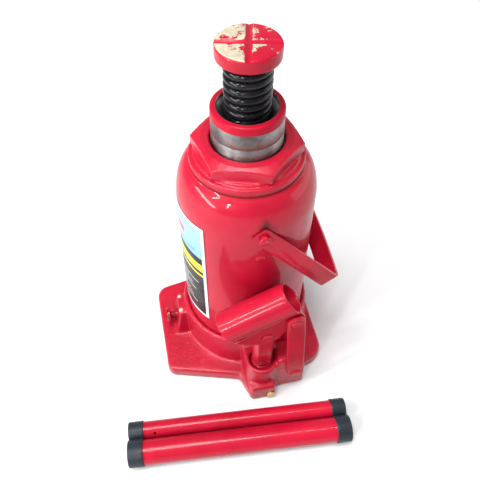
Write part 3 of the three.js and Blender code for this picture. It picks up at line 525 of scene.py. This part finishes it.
def makeSaddle(size):
    top = size["foot"] + size["height"]
    edge, foot, radius = size["edge"], size["foot"], size["radius"]
    bm = spun([(0, foot), (radius - 0.8, foot), (radius - 0.2, foot + 0.25), (radius, foot + 0.9),
               (radius, top - edge), (radius - 0.35, top - 0.55 * edge),
               (radius - 0.9, top - 0.2 * edge), (radius - edge, top), (0, top)], 128)
    piece = rawPiece("saddleCap", bm)
    for turn in (size["turn"], size["turn"] + 90):
        bar = bmesh.new()
        side = size["groove"] * math.sqrt(0.5)
        bmesh.ops.create_cube(bar, size=1.0)
        bmesh.ops.scale(bar, vec=(3 * radius * mm, side * mm, side * mm), verts=bar.verts)
        placed(bar, turned("X", 45))
        bmesh.ops.scale(bar, vec=(1, 1, 2 * size["depth"] / size["groove"]), verts=bar.verts)
        placed(bar, turned("Z", turn), (0, 0, top))
        cut(piece, bar)
    bm = bmesh.new()
    bm.from_mesh(piece.data)
    rounded(bm, 0.5, 2, 12)
    bm.to_mesh(piece.data)
    bm.free()
    return piece


def saddleFinish(size):
    look = Look("wornSaddle", roughness=0.34, coat=0.25, coatRoughness=0.12)
    look.shader.inputs["Specular IOR Level"].default_value = enamel["specular"]
    top = (size["foot"] + size["height"]) * mm
    red = look.mix(look.step(look.noise(16, 4.0), 0.3, 0.7), enamel["deep"], enamel["bright"])
    height = look.step(look.axis("Z"), top - 0.9 * mm, top - 0.25 * mm)
    lean = look.step(look.axis("X"), -0.004, 0.014, 0.03, -0.07)  # the paint lasts longer towards +X
    blotch = look.noise(21, 6.0, 0.66, look.mapped(move=(0.013, 0.021, 0)))
    patch = look.step(look.math("ADD", blotch, lean), 0.455, 0.475)
    quarter = look.mapped(turn=(0, 0, math.radians(-size["turn"])))
    split = look.tree.nodes.new("ShaderNodeSeparateXYZ")
    look.tree.links.new(quarter, split.inputs[0])
    wander = look.math("MULTIPLY", look.math("SUBTRACT", look.noise(5, 4.0), 0.5), 3.4 * mm)
    flats = []
    for name in ("X", "Y"):
        away = look.math("ADD", look.math("ABSOLUTE", split.outputs[name]), wander)
        flats.append(look.step(away, 2.2 * mm, 3.0 * mm))
    flat = look.math("MULTIPLY", flats[0], flats[1])
    bare = look.math("MULTIPLY", flat, look.math("MULTIPLY", height, patch))
    metal = look.mix(look.step(look.noise(6, 5.0), 0.35, 0.7), (0.47, 0.41, 0.29), (0.34, 0.30, 0.23))
    look.color(look.mix(bare, red, metal))
    look.drive("Roughness", look.step(bare, 0.0, 1.0, 0.28, 0.55))
    look.bump([(look.noise(1.6, 3.0), 0.03), (look.math("SUBTRACT", 1.0, bare), 0.18)])
    return look.material


dressed(makeSaddle(saddleSizes), saddleFinish(saddleSizes), "screw", ["saddle"],
        sharp=30)
print("saddle made")

# Pump plunger, with two flats milled on its tongue

plungerSizes = {"shoulder": 10.5, "low": 44.2, "high": 47.6, "tongue": 10.2, "flat": 8.2, "top": 114.9,
                "stem": 6.6, "foot": 13.5, "crown": 5.0, "edge": 0.8, "slack": 0.2}


def makePlunger(size):
    stem, shoulder, slack = size["stem"], size["shoulder"], size["slack"]
    low, high, top = size["low"], size["high"], size["top"]
    seat = size["tongue"] - slack
    bm = spun([(0, size["foot"]), (stem, size["foot"]), (stem, low), (shoulder, low),
               (shoulder, high - size["edge"]), (shoulder - size["edge"], high), (seat, high),
               (seat, high + slack)], 72)
    root = high - 2
    tongue = spun([(0, root), (size["tongue"], root), (size["tongue"], top), (0, top)], 72)
    for side in (-1, 1):
        trimmed(tongue, (0, side * size["flat"] * mm, 0), (0, side, 0))
        rim = [edge for edge in tongue.edges if edge.is_boundary]
        bmesh.ops.contextual_create(tongue, geom=rim)
    bmesh.ops.recalc_face_normals(tongue, faces=tongue.faces)
    crown = [edge for edge in tongue.edges if abs(edge.calc_face_angle(0)) > 1.2
             and min(vert.co.z for vert in edge.verts) > (top - 0.1) * mm
             and abs(edge.verts[0].co.y + edge.verts[1].co.y) < 1.9 * size["flat"] * mm]
    bmesh.ops.bevel(tongue, geom=crown, offset=size["crown"] * mm, offset_type="OFFSET", segments=6,
                    profile=0.5, affect="EDGES", material=-1, clamp_overlap=True)
    rounded(tongue, 0.7, 2, 40)
    return rawPiece("plunger", placed(joined(bm, tongue), move=(pump["x"], pump["y"], 0)))


linkPaint = redPaint("linkPaint", cast=0.06, peel=0.02,
                     chips=[((-4, -90, 51), (0.5, 2.2), 3.0), ((5, -90, 52.5), (0.4, 1.8), 2.6),
                            ((22, -98, 133), (0.3, 1.5), 2.0)])
dressed(makePlunger(plungerSizes), linkPaint, "plunger", ["pump_plunger"])
print("plunger made")

# Handle socket: a slant-cut tube welded between two ears

socketSizes = {"radius": 15.0, "bore": 13.1, "left": 58.5, "right": 7.1, "slant": 2.3, "rise": 18.4,
               "tilt": 26.3, "spare": 5.0, "pivot": (24.8, 127.6), "voxel": 0.62, "rounds": 3}


def makeSocket(size):
    bore, radius = size["bore"], size["radius"]
    low = -size["left"] - size["spare"]
    high = size["right"] + size["spare"]
    tube = spun([(bore, low), (radius, low), (radius, high), (bore, high)], 96, closed=True)
    placed(tube, turned("Y", 90))
    lean = size["slant"] / radius
    for end, side in ((-size["left"], -1), (size["right"], 1)):
        bmesh.ops.bridge_loops(tube, edges=trimmed(tube, (end * mm, 0, 0), (side, 0, side * lean)))
    bmesh.ops.recalc_face_normals(tube, faces=tube.faces)
    placed(tube, move=(0, 0, size["rise"]))
    x, z = size["pivot"]
    placed(tube, turned("Y", -size["tilt"]), (x, pump["y"], z))
    return fused("handleSocket", [nodeCopy("handle_socket"), tube], size["voxel"], size["rounds"])


socketPaint = redPaint("socketPaint", cast=0.035, peel=0.02,
                       chips=[((-41, -92, 116), (0.3, 1.6), 2.2), ((-10, -97, 104), (0.3, 1.4), 2.2)])
socket = dressed(makeSocket(socketSizes), socketPaint, "socket", ["handle_socket"],
                 sharp=60)
print("handle socket made:", len(socket.data.polygons), "faces")

# Fulcrum links and their pins

linkSizes = {"half": 8.4, "low": (31.0, 33.3), "high": (24.8, 127.6), "inner": 11.8, "thick": 4.0,
             "hole": 5.6, "drill": 60.0, "pin": 5.2, "round": 0.9}


def makeLink(name, size, side):
    lowX, lowZ = size["low"]
    highX, highZ = size["high"]
    length = math.hypot(highX - lowX, highZ - lowZ)
    bm = bmesh.new()
    bmesh.ops.create_circle(bm, cap_ends=True, radius=size["half"] * mm, segments=64)
    ahead = [vert for vert in bm.verts if vert.co.y > 1e-6]
    bmesh.ops.translate(bm, vec=(0, length * mm, 0), verts=ahead)
    lifted = bmesh.ops.extrude_face_region(bm, geom=bm.faces[:])
    top = [item for item in lifted["geom"] if isinstance(item, bmesh.types.BMVert)]
    bmesh.ops.translate(bm, vec=(0, 0, size["thick"] * mm), verts=top)
    bmesh.ops.recalc_face_normals(bm, faces=bm.faces)
    rounded(bm, size["round"], 3, 50)
    near = -(size["inner"] + size["thick"]) if side < 0 else size["inner"]
    placed(bm, turned("X", 90), (0, near + size["thick"], 0))
    lean = math.degrees(math.atan2(highX - lowX, highZ - lowZ))
    placed(bm, turned("Y", lean), (lowX, pump["y"], lowZ))
    piece = rawPiece(name, bm)
    for x, z in (size["low"], size["high"]):
        hole = rod(size["hole"], size["drill"], 48)
        cut(piece, placed(hole, turned("X", 90), (x, pump["y"], z)))
    return piece


def makePin(name, size, half, x, z):
    radius = size["pin"]
    end = [(radius, half - 0.95), (radius - 0.7, half - 0.25), (radius - 1.6, half), (0, half)]
    profile = [(across, -along) for across, along in reversed(end)] + end
    return rawPiece(name, placed(spun(profile, 64), turned("X", 90), (x, pump["y"], z)))


pinPaint = redPaint("pinPaint", cast=0.03, peel=0.03)
for name, side in (("link_front", -1), ("link_rear", 1)):
    link = makeLink(name.replace("_", "") + "Plate", linkSizes, side)
    dressed(link, linkPaint, "link", [name])
for name, body, half, place in (("link_lower_pin", "base", 16.7, linkSizes["low"]),
                                ("link_upper_pin", "link", 16.7, linkSizes["high"]),
                                ("plunger_pin", "socket", 12.4, (1.0, 105.5))):
    pin = makePin(name.replace("_", "") + "Round", linkSizes, half, *place)
    dressed(pin, pinPaint, body, [name])
print("links and pins made")

# Release valve: a slotted disc on a short neck, in front of its boss

valveSizes = {"head": 9.0, "thick": 3.6, "proud": 10.0, "stem": 4.0, "face": 75.76, "height": 25.0,
              "slot": 1.6, "slotDepth": 3.6, "inside": 16.0, "threads": 4, "pitch": 1.4}


def makeValve(size):
    head, stem, proud = size["head"], size["stem"], size["proud"]
    neck = proud - size["thick"]
    profile = [(0, -size["inside"]), (stem, -size["inside"])]
    for turn in range(size["threads"]):
        low = 0.6 + turn * size["pitch"]
        profile += [(stem, low), (stem, low + 0.6), (stem - 0.5, low + 1.0)]
    profile += [(stem, neck), (head - 0.7, neck), (head - 0.1, neck + 0.5), (head, neck + 1.1),
                (head, proud - 1.1), (head - 0.3, proud - 0.4), (head - 1.1, proud), (0, proud)]
    piece = rawPiece("releaseScrew", spun(profile, 72))
    bar = bmesh.new()
    bmesh.ops.create_cube(bar, size=1.0)
    bmesh.ops.scale(bar, verts=bar.verts,
                    vec=(3 * head * mm, 2 * size["slot"] * mm, size["slotDepth"] * mm))
    cut(piece, placed(bar, move=(0, 0, proud)))
    boss = Matrix.Translation(Vector((-size["face"], 0, size["height"])) * mm)
    piece.data.transform(boss @ turned("Y", -90))
    return piece


valvePaint = redPaint("valvePaint", cast=0.05, peel=0.03,
                      chips=[((-85, -6, 31), (0.6, 3.0), 4.0), ((-83, 5, 33), (0.6, 2.6), 4.0),
                             ((-82, -8, 20), (0.4, 2.4), 3.0), ((-78, -2, 29), (0.6, 2.6), 3.0)],
                      chipColor=(0.05, 0.045, 0.02))
dressed(makeValve(valveSizes), valvePaint, "release_valve", ["release_valve"])
print("release valve made")

# Carrying bail: one bent flat strip on two rivets

bailSizes = {"flat": 1.5, "edge": 0.55, "corner": 50}


def makeBail(size):
    bm = nodeCopy("carry_handle")
    bmesh.ops.dissolve_limit(bm, angle_limit=math.radians(size["flat"]), verts=bm.verts,
                             edges=bm.edges)
    rounded(bm, size["edge"], 2, size["corner"])
    return rawPiece("bailStrip", bm)


rivetSizes = {"stem": 3.5, "head": 4.6, "outer": 64.3, "inner": 55.0, "x": 1.5, "z": 208.0}


def makeRivet(name, size, side):
    head, stem, inner, outer = size["head"], size["stem"], size["inner"], size["outer"]
    profile = [(0, inner), (stem, inner), (stem, outer), (head, outer), (head - 0.1, outer + 0.5),
               (head - 0.5, outer + 0.9), (head - 1.2, outer + 1.2), (head - 2.6, outer + 1.4),
               (0, outer + 1.5)]
    return rawPiece(name, placed(spun(profile, 48), turned("X", -side * 90), (size["x"], 0, size["z"])))


# the darker red patch on the bail's arm is painted shade
bailPaint = redPaint("bailPaint", cast=0.04, peel=0.02,
                     stainsAndShade=[((25, -62, 190), (2, 16), 10, (0.3, 0.005, 0.015), 0.4)])
dressed(makeBail(bailSizes), bailPaint, "bail", ["carry_handle"], sharp=28)
rivetPaint = redPaint("rivetPaint", cast=0.05, chips=[((2.4, -66, 209), (0.2, 1.2), 1.6)],
                      chipColor=(0.2, 0.12, 0.1))
for name, side in (("bail_rivet_near", 1), ("bail_rivet_far", -1)):
    rivet = makeRivet(name.replace("_", "") + "Head", rivetSizes, side)
    dressed(rivet, rivetPaint, "base", [name])
print("bail made")

# Filler plug and label

fillerSizes = {"stem": 2.4, "head": 4.2, "angle": -91.0, "height": 181.0, "radius": 60.0,
               "inner": 55.0}


def makeFiller(size):
    face = size["radius"] - 0.3
    head = size["head"]
    profile = [(0, size["inner"]), (size["stem"], size["inner"]), (size["stem"], face), (head, face),
               (head - 0.5, face + 0.4), (head - 1.3, face + 0.8), (head - 2.2, face + 1.05),
               (0, face + 1.2)]
    bm = placed(spun(profile, 48), turned("Y", 90))
    return rawPiece("fillerHead", placed(bm, turned("Z", size["angle"]), (0, 0, size["height"])))


fillerPaint = redPaint("fillerPaint", cast=0.05)
dressed(makeFiller(fillerSizes), fillerPaint, "base", ["filler_plug"])

labelSizes = {"radius": 60.3, "thick": 0.4, "wrap": 84.4, "foot": 70.0, "height": 135.0, "border": 3.4,
              "rows": 12, "steps": 48, "soft": 0.2, "lines": 9, "lineTop": 52, "lineStep": 5.2,
              "upper": (0.24, 0.42, 0.53), "lower": (0.15, 0.33, 0.45), "field": (0.006, 0.005, 0.006),
              "lineColor": (0.5, 0.5, 0.48), "borderColor": (0.55, 0.57, 0.58), "dust": (0.4, 0.36, 0.36),
              "bars": [{"across": (14, 74), "up": (74, 84), "slant": 0.3, "color": (0.83, 0.66, 0.02)},
                       {"across": (20, 66), "up": (66.5, 69), "slant": 0.3, "color": (0.83, 0.66, 0.02)},
                       {"across": (12, 62), "up": (108, 117), "slant": 0.0, "color": (0.62, 0.10, 0.14)},
                       {"across": (18, 78), "up": (99, 101), "slant": 0.0, "color": (0.10, 0.22, 0.50)}]}


def makeLabel(size):
    bm = bmesh.new()
    verts = []
    for row in range(size["rows"] + 1):
        height = size["foot"] + size["height"] * row / size["rows"]
        verts.append(bm.verts.new((size["radius"] * mm, 0, height * mm)))
    edges = [bm.edges.new(pair) for pair in zip(verts, verts[1:])]
    start = Matrix.Rotation(math.radians(180 - size["wrap"] / 2), 3, "Z")
    bmesh.ops.rotate(bm, cent=(0, 0, 0), matrix=start, verts=verts)
    bmesh.ops.spin(bm, geom=verts + edges, cent=(0, 0, 0), axis=(0, 0, 1),
                   angle=math.radians(size["wrap"]), steps=size["steps"])
    bmesh.ops.recalc_face_normals(bm, faces=bm.faces)
    if bm.faces[0].calc_center_median().to_2d().dot(bm.faces[0].normal.to_2d()) < 0:
        bmesh.ops.reverse_faces(bm, faces=bm.faces)
    sheet = bm.loops.layers.uv.new("label")
    for face in bm.faces:
        for loop in face.loops:
            spot = loop.vert.co
            turn = math.degrees(math.atan2(spot.y, spot.x)) % 360 - 180
            across = (turn + size["wrap"] / 2) / size["wrap"]
            loop[sheet].uv = (across, (spot.z / mm - size["foot"]) / size["height"])
    piece = rawPiece("labelSheet", bm)
    wall = piece.modifiers.new("thickness", "SOLIDIFY")
    wall.thickness = size["thick"] * mm
    wall.offset = 1.0
    return settled(piece)


def labelFinish(size):
    look = Look("labelPrint", roughness=0.35)
    look.shader.inputs["Specular IOR Level"].default_value = 0.15
    sheetMap = look.tree.nodes.new("ShaderNodeUVMap")
    sheetMap.uv_map = "label"
    split = look.tree.nodes.new("ShaderNodeSeparateXYZ")
    look.tree.links.new(sheetMap.outputs[0], split.inputs[0])
    width = math.radians(size["wrap"]) * size["radius"]
    across = look.math("MULTIPLY", split.outputs["X"], width)
    up = look.math("MULTIPLY", split.outputs["Y"], size["height"])

    def between(place, low, high):
        soft = size["soft"]
        rising = look.step(place, low - soft, low + soft)
        return look.math("MULTIPLY", rising, look.step(place, high - soft, high + soft, 1.0, 0.0))

    def block(sides, ends, slant=0.0):
        shifted = look.math("SUBTRACT", across, look.math("MULTIPLY", up, slant)) if slant else across
        return look.math("MULTIPLY", between(shifted, *sides), between(up, *ends))

    border = size["border"]
    tone = look.mix(look.step(up, 70, 130), size["lower"], size["upper"])
    ink = look.mix(block((border, width - border), (border, 93)), tone, size["field"])
    for bar in size["bars"]:
        ink = look.mix(block(bar["across"], bar["up"], bar["slant"]), ink, bar["color"])
    for row in range(size["lines"]):
        low = size["lineTop"] - row * size["lineStep"]
        ragged = (row * 17) % 23  # each line of print ends somewhere else
        ink = look.mix(block((12, 78 - ragged), (low, low + 1.3)), ink, size["lineColor"])
    inside = block((border, width - border), (border, size["height"] - border))
    ink = look.mix(inside, size["borderColor"], ink)
    fade = look.step(look.noise(18, 5.0), 0.45, 0.8, 0.0, 0.1)
    look.color(look.mix(fade, ink, size["dust"]))
    look.drive("Roughness", look.step(look.noise(12), 0.3, 0.7, 0.22, 0.4))
    look.bump([(look.noise(9, 3.0), 0.03)])
    return look.material


dressed(makeLabel(labelSizes), labelFinish(labelSizes), "base", ["rating_label"])
print("filler plug and label made")

# Loose handle tubes and their moulded caps, lying in front of the jack

handleSizes = {"length": 214.0, "turn": -5.0, "reach": (-35.1, -86.4), "wall": 1.4, "cap": 14.5,
               "capWall": 0.8, "floor": 1.6, "gap": 0.3, "hole": 1.3, "holeInset": 11.0,
               "large": 11.7, "small": 8.6}


def tubePlace(size, radius, sideways):
    turn = math.radians(size["turn"])
    x = size["reach"][0] - sideways * math.sin(turn)
    y = size["reach"][1] - tankSizes["radius"] + sideways * math.cos(turn)
    rest = radius + size["gap"] + size["capWall"]
    return Matrix.Translation(Vector((x, y, rest)) * mm) @ turned("Z", size["turn"]) @ turned("Y", 90)


def makeTube(name, size, radius):
    half = size["length"] / 2 - size["floor"] - size["gap"]
    inner = radius - size["wall"]
    return rawPiece(name, spun([(inner, -half), (radius, -half), (radius, half), (inner, half)], 72,
                               closed=True))


def makeCap(name, size, radius, end):
    inner = radius + size["gap"]
    outer = inner + size["capWall"]
    tip = size["length"] / 2
    rim = tip - size["cap"]
    profile = [(0, tip - size["floor"]), (inner, tip - size["floor"]), (inner, rim),
               (outer - 0.25, rim), (outer, rim + 0.3), (outer, rim + 1.6), (outer - 0.12, rim + 2.0),
               (outer - 0.1, tip - 1.4), (outer - 0.35, tip - 0.6), (outer - 0.9, tip - 0.12),
               (outer - 1.5, tip), (outer - 3.4, tip), (outer - 3.7, tip - 0.35), (0, tip - 0.35)]
    bm = spun(profile, 72)
    if end < 0:
        placed(bm, turned("X", 180))
    return rawPiece(name, bm)


tubePaint = redPaint("tubePaint", peel=0.02, chips=[((-30, -143, 22), (0.2, 1.4), 2.0)])
capFinish = plain("capPlastic", (0.016, 0.021, 0.028), 0.45, 1.4, 0.035, shine=0.25)
sleeve = handleSizes["capWall"] + handleSizes["gap"]
spacing = 2 * math.sqrt(handleSizes["large"] * handleSizes["small"]) + 2 * sleeve
for kind, sideways in (("large", 0.0), ("small", spacing)):
    radius = handleSizes[kind]
    place = tubePlace(handleSizes, radius, sideways)
    tube = makeTube(kind + "Tube", handleSizes, radius)
    if kind == "small":
        hole = placed(rod(handleSizes["hole"], 2 * radius, 32), turned("Y", 90), (-radius, 0, 0))
        along = handleSizes["length"] / 2 - handleSizes["cap"] - handleSizes["holeInset"]
        placed(hole, turned("Z", 45), (0, 0, -along))
        cut(tube, hole)
    tube.data.transform(place)
    dressed(tube, tubePaint, "handle_" + kind, ["handle_tube_" + kind])
    for side, end in (("left", -1), ("right", 1)):
        cap = makeCap(kind + "Cap" + side.title(), handleSizes, radius, end)
        cap.data.transform(place)
        dressed(cap, capFinish, "handle_" + kind, [kind + "_cap_" + side])
print("handle tubes made")

# Plain finishes for the working parts that stay as the model has them

machined = steel("machinedSteel", (0.42, 0.41, 0.40), 0.32)
bushing = redPaint("bushingPaint", cast=0.05)
sealRubber = plain("sealRubber", (0.014, 0.014, 0.014), 0.6, 2.0, 0.04)
fibre = plain("gasketFibre", (0.16, 0.03, 0.03), 0.8, 0.8, 0.08, shine=0.2)
bronze = plain("guideBronze", (0.42, 0.24, 0.1), 0.35, 4.0, 0.02, metallic=1.0)
brass = plain("plugBrass", (0.66, 0.5, 0.24), 0.4, 3.0, 0.05, metallic=0.6)
for material, nodes in ((machined, ("pressure_cylinder", "ram_piston", "screw_stop_ring",
                                    "release_valve_ball", "check_valve_ball", "check_valve_spring")),
                        (bushing, ("pump_cylinder",)),
                        (sealRubber, ("ram_wiper_seal", "ram_piston_seal", "plunger_seal")),
                        (fibre, ("tank_base_gasket", "tank_top_gasket")),
                        (bronze, ("ram_guide_ring",)), (brass, ("check_valve_plug",))):
    for node in nodes:
        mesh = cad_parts[node].data
        mesh.materials.clear()
        mesh.materials.append(material)
print("inner parts finished")

# Floor, light and camera

stageSizes = {"floor": 6.0, "drop": -0.5, "paper": (0.60, 0.60, 0.603), "sky": (0.95, 0.97, 1.0, 1),
              "skyStrength": 0.42, "aim": (0, 0, 0.17)}
bm = bmesh.new()
bmesh.ops.create_grid(bm, x_segments=1, y_segments=1, size=stageSizes["floor"])
placed(bm, move=(0, 0, stageSizes["drop"]))
floor = rawPiece("floor", bm)
floorLook = Look("palePaper", stageSizes["paper"], roughness=0.9)
floorLook.shader.inputs["Specular IOR Level"].default_value = 0.0
floor.data.materials.append(floorLook.material)

world = bpy.data.worlds.new("studio")
bpy.context.scene.world = world
world.use_nodes = True
background = world.node_tree.nodes["Background"]
background.inputs["Color"].default_value = stageSizes["sky"]
background.inputs["Strength"].default_value = stageSizes["skyStrength"]

lamps = [{"name": "overhead", "at": (-0.6, -0.2, 3.8), "size": (1.6, 1.6), "power": 128.0, "roll": 0},
         {"name": "strip", "at": (0.0, -0.25, 2.0), "size": (1.3, 0.05), "power": 8.0, "roll": 0},
         {"name": "paneNear", "at": (-0.93, -1.09, 0.95), "size": (0.08, 0.55), "power": 9.0, "roll": 0},
         {"name": "paneFar", "at": (-1.09, -0.38, 1.3), "size": (0.08, 0.55), "power": 10.0, "roll": 0},
         {"name": "window", "at": (-1.37, -0.25, 0.6), "size": (1.3, 0.17), "power": 22.0, "roll": -30},
         {"name": "rightWall", "at": (0.95, 0.0, 0.36), "size": (1.1, 0.6), "power": 4.0, "roll": 0}]
for lamp in lamps:
    light = bpy.data.lights.new(lamp["name"], "AREA")
    light.shape = "RECTANGLE"
    light.size, light.size_y = lamp["size"]
    light.energy = lamp["power"]
    holder = bpy.data.objects.new(lamp["name"], light)
    sight = Vector(stageSizes["aim"]) - Vector(lamp["at"])
    facing = sight.to_track_quat("-Z", "Y").to_matrix().to_4x4()
    holder.rotation_euler = (facing @ turned("Z", lamp["roll"])).to_euler()
    holder.location = lamp["at"]
    bpy.context.scene.collection.objects.link(holder)

cameraSizes = {"at": (-0.0777155, -0.3366229, 0.5572579), "turn": (38.5711, -0.1594, -11.9337),
               "lens": 41.707, "sensor": 36.0, "near": 0.01}
lens = bpy.data.cameras.new("studioCamera")
lens.lens = cameraSizes["lens"]
lens.sensor_width = cameraSizes["sensor"]
lens.clip_start = cameraSizes["near"]
camera = bpy.data.objects.new("studioCamera", lens)
camera.location = cameraSizes["at"]
camera.rotation_euler = [math.radians(angle) for angle in cameraSizes["turn"]]
bpy.context.scene.collection.objects.link(camera)
bpy.context.scene.camera = camera
bpy.context.scene.view_settings.view_transform = "Standard"
print("stage set")
